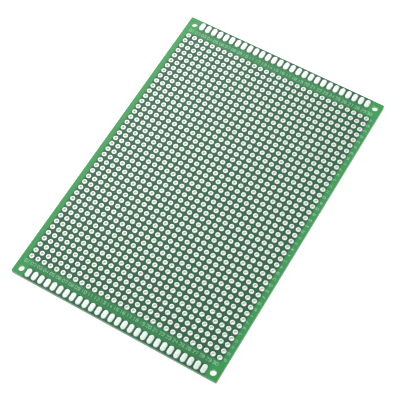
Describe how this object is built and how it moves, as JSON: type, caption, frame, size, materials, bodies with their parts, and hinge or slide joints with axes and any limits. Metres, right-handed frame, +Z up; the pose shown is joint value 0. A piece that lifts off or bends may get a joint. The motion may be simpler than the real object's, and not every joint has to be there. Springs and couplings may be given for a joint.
{
  "type": "prototype board",
  "caption": "Flat green double-sided prototype board with a grid of plated lead holes, edge contacts and corner fixing holes.",
  "frame": {"origin": "middle of the board's underside, on the surface that it rests on", "axes": "+Z up through the board, +Y along the long side towards lead row 1 (printed A), +X along the columns towards column 30"},
  "size_m": [0.08, 0.12, 0.0016],
  "materials": {
    "laminate": "woven glass-fibre epoxy, matt",
    "solder_mask": "green solder mask, semi-gloss",
    "tinned_copper": "levelled solder on copper, bright satin",
    "legend": "white screen-printed ink"
  },
  "bodies": {
    "root": {"laminate": "laminate", "solder_mask_top": "solder_mask", "solder_mask_bottom": "solder_mask", "contacts_near_top": "tinned_copper", "contacts_near_bottom": "tinned_copper", "contacts_far_top": "tinned_copper", "contacts_far_bottom": "tinned_copper", "plated_row_01": "tinned_copper", "plated_row_02": "tinned_copper", "plated_row_03": "tinned_copper", "plated_row_04": "tinned_copper", "plated_row_05": "tinned_copper", "plated_row_06": "tinned_copper", "plated_row_07": "tinned_copper", "plated_row_08": "tinned_copper", "plated_row_09": "tinned_copper", "plated_row_10": "tinned_copper", "plated_row_11": "tinned_copper", "plated_row_12": "tinned_copper", "plated_row_13": "tinned_copper", "plated_row_14": "tinned_copper", "plated_row_15": "tinned_copper", "plated_row_16": "tinned_copper", "plated_row_17": "tinned_copper", "plated_row_18": "tinned_copper", "plated_row_19": "tinned_copper", "plated_row_20": "tinned_copper", "plated_row_21": "tinned_copper", "plated_row_22": "tinned_copper", "plated_row_23": "tinned_copper", "plated_row_24": "tinned_copper", "plated_row_25": "tinned_copper", "plated_row_26": "tinned_copper", "plated_row_27": "tinned_copper", "plated_row_28": "tinned_copper", "plated_row_29": "tinned_copper", "plated_row_30": "tinned_copper", "plated_row_31": "tinned_copper", "plated_row_32": "tinned_copper", "plated_row_33": "tinned_copper", "plated_row_34": "tinned_copper", "plated_row_35": "tinned_copper", "plated_row_36": "tinned_copper", "plated_row_37": "tinned_copper", "plated_row_38": "tinned_copper", "plated_row_39": "tinned_copper", "plated_row_40": "tinned_copper", "plated_row_41": "tinned_copper", "plated_row_42": "tinned_copper"}
  },
  "joints": []
}
